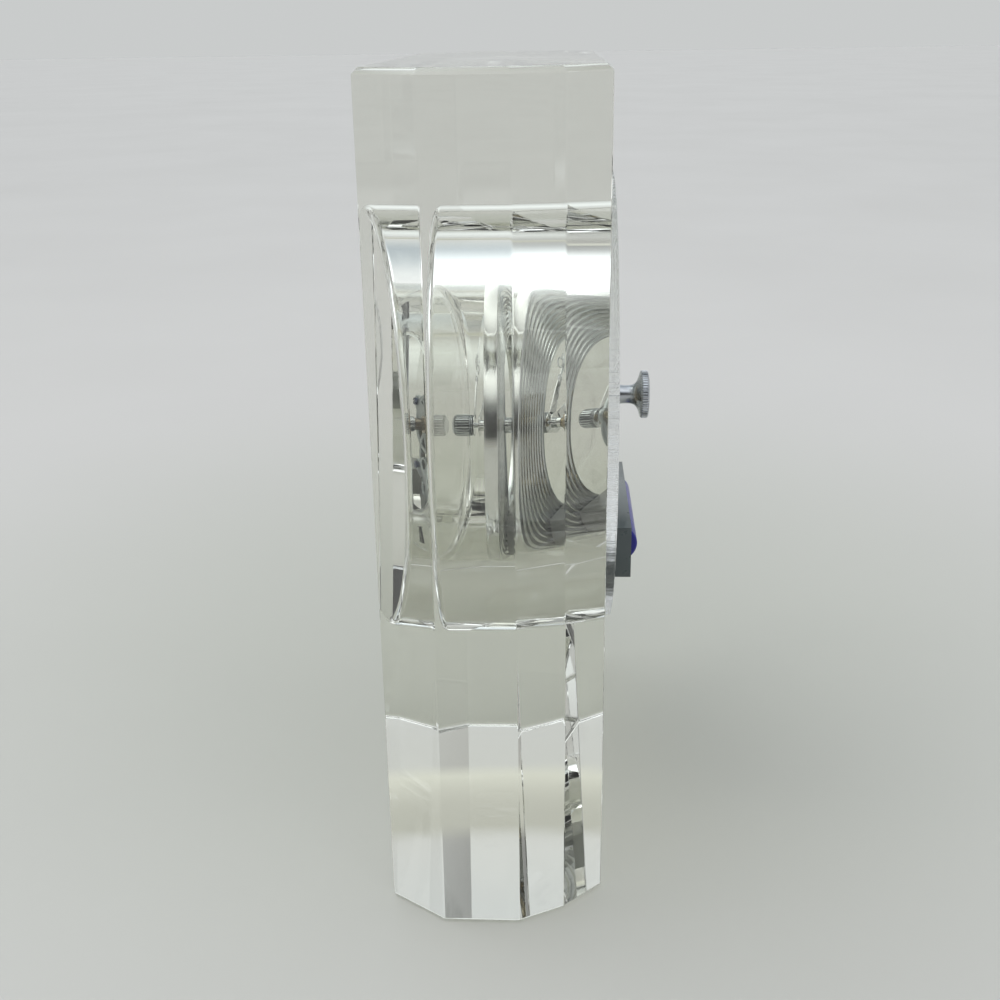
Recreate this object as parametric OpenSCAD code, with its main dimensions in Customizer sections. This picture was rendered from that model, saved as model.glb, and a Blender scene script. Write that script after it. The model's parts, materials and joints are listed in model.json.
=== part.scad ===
// Glass block skeleton clock.
// A thick faceted block of clear glass stands on its flat base. A large pocket with a rounded
// inner corner is cut into it from the back (+Y), and leaves a thick clear wall at the front
// (-Y). A clear disc closes the pocket and carries the battery holder, the movement carrier,
// the open train and the dial ring. Origin: centre of
// the base, +Z up, front facing -Y. All lengths in millimetres.

/* [Glass block] */
// Height of the block
block_h = 220.5; // [216:0.5:228]
// Depth of the block, front face to back face
block_d = 58; // [57:0.5:60]
// Half width at the front face
half_front = 76; // [74:0.5:78]
// Half width at the front corner of the widest facet
half_mid_a = 86.5; // [84:0.5:89]
// Half width at the rear corner of the widest facet
half_mid_b = 86.6; // [84:0.5:89]
// Half width at the corner between the two rear facets
half_rear = 80.3; // [78:0.5:83]
// Half width at the back face
half_back = 70.4; // [69:0.5:73]
// Chamfer round the top edge
top_chamfer = 1.5; // [1:0.25:5]
// Bevel round the bottom edge
base_bevel = 1; // [0.5:0.25:2]

/* [Pocket and rear disc] */
// Height of the clock's axis above the base
axis_h = 124.4; // [122:0.2:127]
// Radius of the pocket cut into the block from the back
bore_r = 60; // [60:0.1:61]
// Distance of the pocket's flat front wall from the middle of the block
pocket_front = 16; // [15.6:0.2:18]
// Radius of the rounded corner at the pocket's front wall
pocket_round = 2.2; // [1:0.2:3]
// Radius of the clear rear disc
disc_r = 66; // [64:0.5:68]
// Thickness of the clear rear disc
disc_t = 3; // [3:0.1:3]

/* [Dial ring] */
// Outer radius of the dial ring
ring_ro = 59.5; // [58.5:0.1:59.5]
// Radius of the ring's open centre
ring_ri = 38.4; // [38:0.1:39]
// Thickness of the dial ring
ring_t = 3.5; // [3.3:0.1:3.7]
// Number of turned grooves on the ring's back
groove_n = 10; // [6:1:12]
// Height of the numerals
numeral_h = 8.4; // [6:0.2:9]

/* [Hands] */
// Angle of the minute hand from twelve, clockwise seen from the front
minute_angle = 329; // [0:1:359]
// Angle of the hour hand from twelve, clockwise seen from the front
hour_angle = 297.4; // [0:0.2:359]
// Length of the minute hand from the axis
minute_len = 46.5; // [44:0.5:50]
// Length of the hour hand from the axis
hour_len = 33; // [31:0.5:35]

/* [Battery] */
// Diameter of the cell
cell_d = 10.5; // [10.2:0.1:10.5]
// Length of the cell with its tip
cell_l = 44.5; // [43:0.1:44.5]

/* [Hidden] */
$fn = 96;
ZA = axis_h;
hd = block_d / 2;
// block outline, counter-clockwise seen from above
side = [[half_front, -hd], [half_mid_a, -hd * 14 / 29], [half_mid_b, hd * 6.4 / 29],
        [half_rear, hd * 18.5 / 29], [half_back, hd]];
outline = concat(side, [for (i = [len(side) - 1:-1:0]) [-side[i].x, side[i].y]]);
// places of the train, measured from the axis: [x, z]
PO = [0, 0];
PM = [12 * cos(5), 12 * sin(5)];
PI_ = [6, -13.61];
PR = [5, -27.07];
pillars = [[-13, 8.5], [25.5, 6], [21, -20], [-9.5, -22], [6, -46.5]];
posts = [[-1, -36], [13, -36]];
// holder and carrier, in the block's own frame
hx0 = -18.5; hx1 = 38.5; hz0 = 81.6; hz1 = 96.6;
cell_y = hd + 4.9; cell_z = 90.6;

// ---- helpers -------------------------------------------------------------
// a flat plate in the XZ plane, from y0 to y0 + t; the 2D child is drawn as seen from the front
module yplate(y0, t) translate([0, y0 + t, 0]) rotate([90, 0, 0]) linear_extrude(t) children();
// a plate drawn from the clock's axis
module aplate(y0, t) translate([0, 0, ZA]) yplate(y0, t) children();
// a round bar along Y at p = [x, z] from the axis
module ycyl(p, y0, y1, r) translate([p.x, y0, ZA + p.y]) rotate([-90, 0, 0]) cylinder(h = y1 - y0, r = r);
module ytube(p, y0, y1, ro, ri) difference() { ycyl(p, y0, y1, ro); ycyl(p, y0 - 1, y1 + 1, ri); }
// a turned piece about the axis: profile [radius, y]
module turned(pts) translate([0, 0, ZA]) rotate([-90, 0, 0]) rotate_extrude() polygon(pts);
// the exact outline round two circles
module link2d(p, rp, q, rq) {
  d = norm(q - p); th = atan2(q.y - p.y, q.x - p.x); a = acos((rp - rq) / d);
  translate(p) circle(rp);
  translate(q) circle(rq);
  polygon([p + rp * [cos(th + a), sin(th + a)], p + rp * [cos(th - a), sin(th - a)],
           q + rq * [cos(th - a), sin(th - a)], q + rq * [cos(th + a), sin(th + a)]]);
}
module ring2d(p, ro, ri) translate(p) difference() { circle(ro); circle(ri); }
module leaf2d(p, r, off, a) translate(p) rotate(a) intersection() {
  translate([-off, 0]) circle(r);
  translate([off, 0]) circle(r);
}
// involute wheel, pressure angle 28 degrees, tooth 0 centred on the angle ph
pa = 28;
function inv(f) = tan(f) * 180 / PI - f;
function gpts(n, m, ph) = let(r = n * m / 2, rb = r * cos(pa), rr = r - 1.15 * m, ra = r + 0.85 * m,
    hp = 90 / n - 0.06 * m / r * 180 / PI + inv(pa),
    R = rr >= rb ? [rr, r, ra] : [rr, rb + 0.005, r, ra],
    H = [for (q = R) hp - (q <= rb ? 0 : inv(acos(rb / q)))], k1 = len(R) - 1)
  [for (k = [0:n - 1]) let(c = ph + 360 * k / n) each concat(
    [for (i = [0:k1]) R[i] * [cos(c - H[i]), sin(c - H[i])]],
    [for (i = [k1:-1:0]) R[i] * [cos(c + H[i]), sin(c + H[i])]])];
module gear2d(n, m, ph) polygon(gpts(n, m, ph));
// angle of the line from p to q
function ang(p, q) = atan2(q.y - p.y, q.x - p.x);
// wheel with windows between spokes
module wheel2d(n, m, ph, hub, spokes, w) difference() {
  gear2d(n, m, ph);
  ri = n * m / 2 - 1.15 * m - 1.1;
  difference() {
    circle(ri);
    circle(hub);
    for (k = [0:spokes - 1]) rotate(k * 360 / spokes + 17) translate([0, -w / 2]) square([ri + 1, w]);
  }
}

// ---- glass block ---------------------------------------------------------
module edge_cut(p, q, c, z, up) {
  d = q - p; l = norm(d);
  translate([p.x, p.y, z]) rotate([0, 0, atan2(d.y, d.x)]) translate([-6, 0, 0])
    rotate([90, 0, 90]) linear_extrude(l + 12)
      polygon(up > 0 ? [[c + 1, 1], [-1, 1], [-1, -c - 1]] : [[c + 1, -1], [-1, c + 1], [-1, -1]]);
}
module glass_block() color([0.86, 0.9, 0.88, 0.4]) difference() {
  linear_extrude(block_h) polygon(outline);
  n = len(outline);
  for (i = [0:n - 1]) {
    // neighbouring cuts differ by a hair, so four planes never meet in one point
    edge_cut(outline[i], outline[(i + 1) % n], top_chamfer + 0.04 * (i % 2), block_h, 1);
    edge_cut(outline[i], outline[(i + 1) % n], base_bevel + 0.04 * (i % 2), 0, -1);
  }
  // the pocket: flat front wall, rounded corner, straight wall and a small bevel at the back
  r = pocket_round;
  translate([0, 0, ZA]) rotate([-90, 0, 0]) rotate_extrude($fn = 180) polygon(concat([[0, -pocket_front]],
    [for (a = [0:15:90]) [bore_r - r + r * sin(a), -pocket_front + r - r * cos(a)]],
    [[bore_r, hd - 0.5], [bore_r + 1.5, hd + 1], [0, hd + 1]]));
}

// ---- rear disc -----------------------------------------------------------
module rear_disc() color([0.88, 0.92, 0.92, 0.5]) difference() {
  turned([[0, hd], [disc_r - 0.3, hd], [disc_r, hd + 0.3], [disc_r, hd + disc_t - 0.3],
          [disc_r - 0.3, hd + disc_t], [0, hd + disc_t]]);
  ycyl(PO, hd - 1, hd + disc_t + 1, 1.6);
  translate([hx0 - 0.05, hd - 1, hz0 - 0.05]) cube([hx1 - hx0 + 0.1, disc_t + 2, hz1 - hz0 + 0.1]);
}

// ---- dial ring, numerals, bridge -------------------------------------------
gp = (ring_ro - ring_ri - 1.6) / groove_n;
module dial_ring() color([0.82, 0.83, 0.84]) difference() {
  turned(concat(
    [[ring_ri, -ring_t / 2 + 0.3], [ring_ri + 0.3, -ring_t / 2], [ring_ri + 1.5, -ring_t / 2],
     [ring_ri + 1.8, -ring_t / 2 + 0.3], [ring_ro - 2.2, -ring_t / 2 + 0.3], [ring_ro - 1.9, -ring_t / 2],
     [ring_ro - 0.4, -ring_t / 2], [ring_ro, -ring_t / 2 + 0.4], [ring_ro, ring_t / 2 - 0.4],
     [ring_ro - 0.4, ring_t / 2]],
    [for (i = [groove_n - 1:-1:0]) let(a = ring_ri + 0.8 + i * gp) each
      [[a + gp * 0.8, ring_t / 2], [a + gp * 0.62, ring_t / 2 - 0.4], [a + gp * 0.38, ring_t / 2 - 0.4],
       [a + gp * 0.2, ring_t / 2]]],
    [[ring_ri + 0.3, ring_t / 2], [ring_ri, ring_t / 2 - 0.3]]));
  for (s = [-1, 1]) {
    translate([-2.6, -ring_t / 2 - 1, ZA + s * (ring_ri + 2.4) - 2.9]) cube([5.2, 2.15, 5.8]);
    ycyl([0, s * 41.2], -1, 1, 0.81);
    for (z = [-32.2, -39]) ycyl([s * 35, z], 0.2, 3, 1.01);
  }
}
// one stroke of a numeral, standing along z, with its foot at z = 0
module stroke(x0, x1, w) polygon([[x0 - w / 2, 0], [x0 + w / 2, 0], [x1 + w / 2, numeral_h], [x1 - w / 2, numeral_h]]);
roman = ["XII", "I", "II", "III", "IIII", "V", "VI", "VII", "VIII", "IX", "X", "XI"];
function cw(c) = c == "I" ? 1.9 : 4.5;
function wid(s, i) = i < 0 ? 0 : wid(s, i - 1) + cw(s[i]);
module glyph(c) {
  if (c == "I") stroke(0, 0, 1.0);
  if (c == "V") { stroke(0, -1.5, 1.0); stroke(0, 1.5, 0.6); }
  if (c == "X") { stroke(1.5, -1.5, 1.0); stroke(-1.5, 1.5, 0.6); }
}
module numeral2d(s) {
  w = wid(s, len(s) - 1);
  for (i = [0:len(s) - 1]) translate([-w / 2 + wid(s, i - 1) + cw(s[i]) / 2, 0]) glyph(s[i]);
  translate([-w / 2 + 0.4, 0]) square([w - 0.8, 0.5]);
  translate([-w / 2 + 0.4, numeral_h - 0.5]) square([w - 0.8, 0.5]);
}
module dial_numerals() color([0.08, 0.08, 0.09]) {
  aplate(-ring_t / 2 + 0.3 - 0.35, 0.35) for (k = [0:11]) rotate(-k * 30)
    translate([0, (ring_ri + ring_ro) / 2 + 1.0 - numeral_h / 2]) numeral2d(roman[k]);
}
module dial_bridge() color([0.8, 0.81, 0.83]) aplate(-1.6, 1) difference() {
  union() {
    circle(5.2);
    translate([-1.5, -40]) square([3, 80]);
    for (s = [-1, 1]) translate([-2.5, s * (ring_ri + 2.3) - 2.75]) square([5, 5.5]);
  }
  circle(2.7);
  for (s = [-1, 1]) translate([0, s * 41.2]) circle(0.85);
}
module bridge_screws() color([0.7, 0.71, 0.73]) for (s = [-1, 1]) difference() {
  union() { ycyl([0, s * 41.2], -2.3, -1.6, 1.5); ycyl([0, s * 41.2], -1.65, 0.9, 0.8); }
  translate([-2, -2.5, ZA + s * 41.2 - 0.2]) cube([4, 0.5, 0.4]);
}

// ---- carrier and battery holder ------------------------------------------------
module carrier() color([0.33, 0.36, 0.38]) difference() {
  union() {
    translate([-hx1, 22, hz0]) cube([2 * hx1, 4.6, hz1 - hz0]);
    for (s = [-1, 1]) translate([s > 0 ? 18 : -hx1, ring_t / 2, hz0]) cube([hx1 - 18, 21, hz1 - hz0]);
    for (p = posts) ycyl(p, 18.5, 23, 2.2);
  }
  for (s = [-1, 1]) {
    translate([s > 0 ? 19.6 : -hx1 + 1.6, 8, hz0 - 1]) cube([hx1 - 21.2, 12.4, hz1 - hz0 - 0.8]);
    for (z = [-32.2, -39]) ycyl([s * 35, z], 0, 7, 1.01);
  }
  for (p = posts) ycyl(p, 17, 22.6, 0.81);
  for (x = [-13, 33]) translate([x, 23, 90]) rotate([-90, 0, 0]) cylinder(h = 5, r = 0.91);
  translate([-17.6, 21, 91.2]) cube([1.4, 7, 2.8]);
  translate([14.6, 21, 92.4]) cube([2.8, 7, 1.4]);
}
module ring_screws() color([0.7, 0.71, 0.73]) for (s = [-1, 1]) for (z = [-32.2, -39]) {
  ycyl([s * 35, z], 0.4, 6, 1);
}
module battery_holder() color([0.36, 0.39, 0.4]) difference() {
  translate([hx0, 26.6, hz0]) cube([hx1 - hx0, 10.7 + hd - 29, hz1 - hz0]);
  translate([hx0 + 1.2, 27.85, 85.15]) cube([hx1 - hx0 - 2.4, 12, 10.85]);
  translate([hx0 + 1.2, 29, 82.4]) cube([hx1 - hx0 - 2.4, 12, 1.2]);
  // finger scallop in the lower wall
  translate([10, 41.5, 80]) cylinder(h = 8, r = 7);
  for (x = [-13, 33]) translate([x, 26, 90]) rotate([-90, 0, 0]) cylinder(h = 5, r = 0.92);
  translate([-17.6, 26, 91.2]) cube([1.4, 3, 2.8]);
  translate([14.6, 26, 92.4]) cube([2.8, 3, 1.4]);
}
module holder_screws() color([0.7, 0.71, 0.73]) for (x = [-13, 33])
  translate([x, 23.2, 90]) rotate([-90, 0, 0]) cylinder(h = 4.6, r = 0.9);

// ---- battery and contacts --------------------------------------------------------
tip_x = hx1 - 1.95;
module battery_cell() color([0.06, 0.1, 0.55]) {
  translate([tip_x - cell_l, cell_y, cell_z]) rotate([0, 90, 0]) rotate_extrude()
    polygon([[0, 0.3], [3.2, 0.3], [3.6, 0], [cell_d / 2 - 0.3, 0], [cell_d / 2, 0.3],
             [cell_d / 2, cell_l - 1.4], [cell_d / 2 - 0.5, cell_l - 0.9], [1.9, cell_l - 0.9],
             [1.9, cell_l - 0.2], [1.6, cell_l], [0, cell_l]]);
}
sp_n = 54; sp_x0 = hx0 + 1.75; sp_x1 = tip_x - cell_l - 0.35;
function spc(i) = let(t = i / sp_n, a = t * 360 * 3.5, r = 3.0 - 1.0 * t)
  [sp_x0 + 0.35 + (sp_x1 - sp_x0 - 0.7) * t, cell_y + r * cos(a), cell_z + r * sin(a)];
function unit(v) = v / norm(v);
function spt(i) = unit(spc(min(i + 1, sp_n)) - spc(max(i - 1, 0)));
module battery_spring() color([0.78, 0.78, 0.76]) {
  rings = [for (i = [0:sp_n]) let(c = spc(i), t = spt(i), u = unit(cross(t, [1, 0, 0])), v = cross(t, u))
    for (k = [0:7]) c + 0.32 * (cos(k * 45) * u + sin(k * 45) * v)];
  polyhedron(rings, concat([[for (k = [0:7]) k]],
    [for (i = [0:sp_n - 1]) for (k = [0:7]) [i * 8 + k, (i + 1) * 8 + k, (i + 1) * 8 + (k + 1) % 8, i * 8 + (k + 1) % 8]],
    [[for (k = [7:-1:0]) sp_n * 8 + k]]), convexity = 6);
  // base plate of the spring and its tail to the circuit board
  translate([hx0 + 1.25, 28.1, 85.9]) cube([0.5, 9.1, 9.4]);
  translate([hx0 + 1.25, 20, 91.6]) cube([0.5, 8.6, 2]);
  translate([hx0 + 1.25, 19.7, 91.6]) cube([20.3, 0.4, 2]);
  translate([2.1, 19.3, 91.6]) cube([1, 0.6, 2]);
}
module battery_contact() color([0.78, 0.78, 0.76]) {
  translate([hx1 - 1.8, 28.1, 85.9]) cube([0.5, 9.1, 9.4]);
  translate([15, 27.9, 92.8]) cube([hx1 - 16.6, 0.22, 0.6]);
  translate([15, 19.7, 92.8]) cube([2, 8.4, 0.6]);
  translate([12, 19.3, 92.8]) cube([5, 0.6, 0.6]);
}

// ---- movement plates -----------------------------------------------------------
module web2d() {
  link2d(PO, 6, pillars[0], 2.8);
  link2d(PO, 6, PM, 3.2);
  link2d(PM, 3.2, pillars[1], 2.8);
  link2d(PO, 6, PI_, 3);
  link2d(PI_, 3, pillars[2], 2.8);
  link2d(PI_, 3, PR, 3.4);
  link2d(PR, 3.4, pillars[3], 2.8);
}
module foot2d(win) difference() {
  union() { leaf2d([6, -33], 22, 12.4, 0); translate(pillars[4]) circle(3.2);
            for (p = posts) translate(p) circle(3.2); }
  if (win) {
    leaf2d([6, -39.4], 7.4, 4.6, 0);
    leaf2d([0.4, -30.6], 5, 3.5, 12);
    leaf2d([11.2, -30.6], 5, 3.5, -12);
  }
}
module pillar_holes2d(r) for (p = pillars) translate(p) circle(r);
module front_plate() color([0.25, 0.29, 0.35]) aplate(5.5, 1.5) difference() {
  union() {
    web2d();
    ring2d(PO, 13.2, 11.4);
    ring2d(PM + [1.4, 0], 13.9, 12.3);
    ring2d(PI_, 13.4, 11.8);
    foot2d(true);
    // scrolls between the rings and the arms
    ring2d([-6.6, 6.4], 4.6, 3.4);
    ring2d([-7.6, -5.2], 4.4, 3.2);
    ring2d([17.4, -7.6], 4.2, 3.0);
    ring2d([17.9, 8.4], 4.0, 2.8);
    ring2d([-1.6, -19.4], 3.6, 2.5);
    ring2d([13.4, -19.6], 3.6, 2.5);
  }
  circle(2.66);
  translate(PM) circle(0.71);
  pillar_holes2d(1.0);
}
module middle_plate() color([0.72, 0.6, 0.3]) difference() {
  union() {
    aplate(10.6, 1.2) difference() {
      union() { web2d(); foot2d(false); }
      // window for the coil
      translate([-0.3, -43.1]) square([12.6, 6.2]);
    }
    for (p = [[-1, -31.5], [13, -31.5]]) ycyl(p, 11.8, 12.6, 1.3);
  }
  ycyl(PO, 10, 12, 1.05);
  ycyl(PM, 10, 12, 0.71);
  ycyl(PI_, 10, 12, 0.55);
  ycyl(PR, 10, 12, 0.45);
  for (p = pillars) ycyl(p, 10, 12, 1.62);
  for (p = [[-1, -31.5], [13, -31.5]]) ycyl(p, 10, 13, 0.6);
}
module back_plate() color([0.72, 0.6, 0.3]) aplate(17, 1.5) difference() {
  union() { web2d(); foot2d(false); ring2d(PO, 13.2, 11.6); }
  circle(1.05);
  translate(PI_) circle(0.55);
  translate(PR) circle(0.45);
  pillar_holes2d(1.0);
  for (p = posts) translate(p) circle(0.85);
}
module plate_pillars() color([0.8, 0.68, 0.36]) for (p = pillars) difference() {
  ycyl(p, 7, 17, 1.6);
  ycyl(p, 6, 9.6, 0.8);
  ycyl(p, 14.4, 18, 0.8);
}
module pillar_screws() color([0.25, 0.3, 0.6]) for (p = pillars) {
  difference() {
    union() { ycyl(p, 4.7, 5.5, 1.7); ycyl(p, 5.45, 9.4, 0.78); }
    translate([p.x - 2, 4.6, ZA + p.y - 0.2]) cube([4, 0.45, 0.4]);
  }
  difference() {
    union() { ycyl(p, 18.5, 19.3, 1.7); ycyl(p, 14.6, 18.55, 0.78); }
    translate([p.x - 2, 18.95, ZA + p.y - 0.2]) cube([4, 0.45, 0.4]);
  }
}
module movement_screws() color([0.7, 0.71, 0.73]) for (p = posts) difference() {
  union() { ycyl(p, 16.2, 17, 1.6); ycyl(p, 16.9, 22.2, 0.78); }
  translate([p.x - 2, 16.1, ZA + p.y - 0.2]) cube([4, 0.45, 0.4]);
}

// ---- bush, sleeve, washer, nut ---------------------------------------------------
module centre_bush() color([0.72, 0.6, 0.36]) turned([[1.95, -4.9], [2.45, -4.9], [2.65, -4.7],
  [2.65, 4.7], [3.9, 4.7], [3.9, 5.5], [2.65, 5.5], [2.65, 7], [1.95, 7]]);
module bush_sleeve() color([0.8, 0.8, 0.8]) turned([[2.67, -0.6], [3.4, -0.6], [3.4, 1.3], [3.2, 1.5], [2.67, 1.5]]);
module bush_washer() color([0.66, 0.56, 0.4]) turned([[2.7, -2.5], [5.9, -2.8], [6.4, -2.5], [6.4, -1.6], [2.7, -1.6]]);
module bush_nut() color([0.7, 0.62, 0.42]) difference() {
  translate([0, -4.5, ZA]) rotate([-90, 0, 0]) cylinder(h = 1.7, r = 4.5, $fn = 6);
  ycyl(PO, -5, -2, 2.67);
}
module minute_stud() color([0.75, 0.76, 0.78]) ycyl(PM, 5.5, 11.8, 0.7);

// ---- motor -----------------------------------------------------------------------
module stator() color([0.6, 0.61, 0.63]) aplate(12.6, 0.9) difference() {
  union() {
    translate(PR) circle(6.2);
    translate([-4.4, -29.4]) square([20.8, 4.6]);
    translate([-4.4, -41.6]) square([3.6, 14]);
    translate([12.8, -41.6]) square([3.6, 14]);
  }
  translate(PR) circle(3.5);
  translate(PR + [0, 4.1]) square([0.8, 2.4], center = true);
  translate(PR + [0, -4.1]) square([0.8, 2.4], center = true);
  for (p = [[-1, -31.5], [13, -31.5]]) translate(p) circle(0.6);
}
module coil_core() color([0.6, 0.61, 0.63]) translate([-4.4, 13.5, ZA - 41.4]) cube([20.8, 1, 2.8]);
module coil_bobbin() color([0.92, 0.92, 0.9]) translate([0, 14, ZA - 40]) {
  difference() {
    union() {
      for (x = [0, 11.2]) translate([x, 0, 0]) rotate([0, 90, 0]) cylinder(h = 0.8, r = 2.9);
      rotate([0, 90, 0]) cylinder(h = 12, r = 2.0);
    }
    translate([-1, -0.52, -1.42]) cube([14, 1.04, 2.84]);
  }
}
module coil_winding() color([0.75, 0.38, 0.15]) translate([0.85, 14, ZA - 40]) rotate([0, 90, 0]) difference() {
  cylinder(h = 10.3, r = 2.7);
  translate([0, 0, -1]) cylinder(h = 13, r = 2.01);
}
module circuit_board() color([0.1, 0.35, 0.2]) translate([-2, 18.5, ZA - 33.4]) difference() {
  cube([16, 0.8, 9]);
  for (x = [1.2, 14.8]) translate([x, -1, 1.2]) rotate([-90, 0, 0]) cylinder(h = 3, r = 0.6);
}
module quartz_can() color([0.8, 0.8, 0.82]) translate([3.2, 20.65, ZA - 26.2]) rotate([0, 90, 0]) cylinder(h = 7, r = 1.3);
module driver_chip() color([0.05, 0.05, 0.06]) translate([9.4, 19.3, ZA - 30.6]) rotate([-90, 0, 0])
  rotate_extrude() polygon([[0, 0], [1.9, 0], [1.7, 0.5], [1.1, 0.85], [0, 1.0]]);

// ---- centre arbor, nut, knob ---------------------------------------------------------
module centre_arbor() color([0.78, 0.79, 0.8]) turned([[0, -13.6], [0.8, -13.6], [1, -13.4], [1, 40.6], [0.8, 40.8], [0, 40.8]]);
module cannon_pinion() color([0.75, 0.76, 0.78]) aplate(8.6, 1.6) difference() {
  gear2d(12, 0.5, ang(PO, PM));
  circle(1.01);
}
module clutch_spring() color([0.8, 0.7, 0.4]) aplate(12.1, 0.6) difference() {
  union() { circle(2.4); for (k = [0:2]) rotate(k * 120) leaf2d([0, 3.6], 5, 4.0, 0); }
  circle(1.01);
}
module arbor_collar() color([0.75, 0.76, 0.78]) turned([[1.01, 14.2], [2.0, 14.2], [2.2, 14.4], [2.2, 15.2], [2.0, 15.4], [1.01, 15.4]]);
module hand_washer() color([0.8, 0.81, 0.83]) turned([[1.01, -10.0], [4.3, -10.0], [4.5, -9.8], [4.5, -9.6], [1.01, -9.6]]);
module cap_nut() color([0.82, 0.83, 0.84]) difference() {
  turned([[0, -15.4], [2.2, -15.35], [3.4, -15.05], [4.3, -14.5], [4.7, -13.9], [4.7, -10.3], [4.5, -10.0], [0, -10.0]]);
  ycyl(PO, -13.7, -9, 1.01);
  for (k = [0:23]) ycyl(4.85 * [cos(k * 15), sin(k * 15)], -16, -10.5, 0.38);
}
module setting_knob() color([0.8, 0.81, 0.83]) difference() {
  y = hd + disc_t;
  turned([[0, y + 0.3], [3.3, y + 0.3], [3.5, y + 0.6], [3.3, y + 1.6], [2.9, y + 3.2], [2.75, y + 5], [2.85, y + 6.6],
          [3.4, y + 7.7], [4.6, y + 8.5], [6.2, y + 9.0], [6.9, y + 9.3], [7.15, y + 9.8], [7.15, y + 11.0], [6.8, y + 11.5],
          [5.4, y + 11.8], [0, y + 12]]);
  ycyl(PO, y, 41, 1.01);
  for (k = [0:35]) ycyl(7.3 * [cos(k * 10), sin(k * 10)], y + 8.8, y + 12.5, 0.33);
}

// ---- hands -------------------------------------------------------------------------
module minute2d() difference() {
  l = minute_len;
  union() {
    circle(4.7);
    polygon([[-2.9, 2], [2.9, 2], [1.45, 20.8], [-1.45, 20.8]]);
    translate([0, 22]) circle(2.1);
    translate([-0.75, 23]) square([1.5, 9]);
    for (s = [-1, 1]) { ring2d([s * 2.9, 29.2], 2.9, 1.7); ring2d([s * 1.9, 33.2], 1.7, 0.8); }
    polygon([[-1.7, 30.5], [1.7, 30.5], [0.25, l], [-0.25, l]]);
  }
  circle(1.01);
  translate([0, 33.2]) circle(0.0001, $fn = 13);
}
module minute_hand() color([0.82, 0.83, 0.84]) aplate(-9.6, 0.5) rotate(-minute_angle) minute2d();
module hour2d() {
  l = hour_len;
  difference() {
    union() {
      circle(4.7);
      polygon([[-2.8, 2], [2.8, 2], [1.6, 13.4], [-1.6, 13.4]]);
      translate([0, 14.4]) circle(2.1);
      translate([-0.8, 15]) square([1.6, 6]);
      for (s = [-1, 1]) { ring2d([s * 3.3, 20], 3.3, 1.9); ring2d([s * 2.1, 24.4], 2.0, 1.0); }
      polygon([[-2.0, 21.5], [2.0, 21.5], [0.3, l], [-0.3, l]]);
    }
    circle(1.91);
  }
}
module hour_hand() color([0.82, 0.83, 0.84]) {
  aplate(-8.1, 0.5) rotate(-hour_angle) hour2d();
  ytube(PO, -7.65, -5.5, 2.35, 1.91);
}

// ---- motion work and train -------------------------------------------------------------
module hour_wheel() color([0.8, 0.68, 0.36]) {
  difference() {
    union() {
      aplate(7.4, 0.8) wheel2d(40, 0.48, ang(PO, PM) + 4.5, 3.4, 5, 1.4);
      ycyl(PO, -8.1, 7.5, 1.9);
    }
    ycyl(PO, -9, 9, 1.05);
  }
}
module minute_wheel() color([0.8, 0.68, 0.36]) aplate(9.0, 0.9) translate(PM) difference() {
  wheel2d(36, 0.5, ang(PM, PO) + 5, 2.4, 4, 1.4);
  circle(0.75);
}
module minute_pinion() color([0.75, 0.76, 0.78]) aplate(7.4, 1.6) translate(PM) difference() {
  gear2d(10, 0.48, ang(PM, PO));
  circle(0.75);
}
module centre_wheel() color([0.8, 0.68, 0.36]) aplate(13.1, 0.8) difference() {
  wheel2d(75, 0.35, ang(PO, PI_), 3.4, 5, 1.6);
  circle(1.05);
}
module intermediate_wheel() color([0.8, 0.68, 0.36]) aplate(14.7, 0.7) translate(PI_) difference() {
  wheel2d(80, 0.3, ang(PI_, PR), 3, 5, 1.5);
  circle(1.21);
}
module intermediate_pinion() color([0.75, 0.76, 0.78]) {
  ycyl(PI_, 10.8, 18.3, 0.5);
  ycyl(PI_, 12.2, 16.6, 1.2);
  aplate(12.4, 1.8) translate(PI_) gear2d(10, 0.35, ang(PI_, PO) + 18);
}
module rotor_magnet() color([0.3, 0.3, 0.32]) ytube(PR, 12.4, 13.9, 3.0, 1.01);
module rotor_pinion() color([0.9, 0.9, 0.86]) {
  ycyl(PR, 10.8, 18.3, 0.4);
  ycyl(PR, 12.2, 16.6, 1.0);
  aplate(14.3, 1.5) translate(PR) gear2d(10, 0.3, ang(PR, PI_) + 18);
}

glass_block();
rear_disc();
dial_ring();
dial_numerals();
dial_bridge();
bridge_screws();
ring_screws();
carrier();
battery_holder();
holder_screws();
battery_spring();
battery_contact();
battery_cell();
front_plate();
middle_plate();
back_plate();
plate_pillars();
pillar_screws();
movement_screws();
centre_bush();
bush_sleeve();
bush_washer();
bush_nut();
minute_stud();
stator();
coil_core();
coil_bobbin();
coil_winding();
circuit_board();
quartz_can();
driver_chip();
centre_arbor();
cannon_pinion();
clutch_spring();
arbor_collar();
minute_hand();
hand_washer();
cap_nut();
setting_knob();
hour_wheel();
hour_hand();
minute_wheel();
minute_pinion();
centre_wheel();
intermediate_wheel();
intermediate_pinion();
rotor_magnet();
rotor_pinion();
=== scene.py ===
"""Glass skeleton clock: finishes, detailed pieces, floor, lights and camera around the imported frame."""
import json
import math

import bmesh
import bpy
from mathutils import Matrix, Vector


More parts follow.
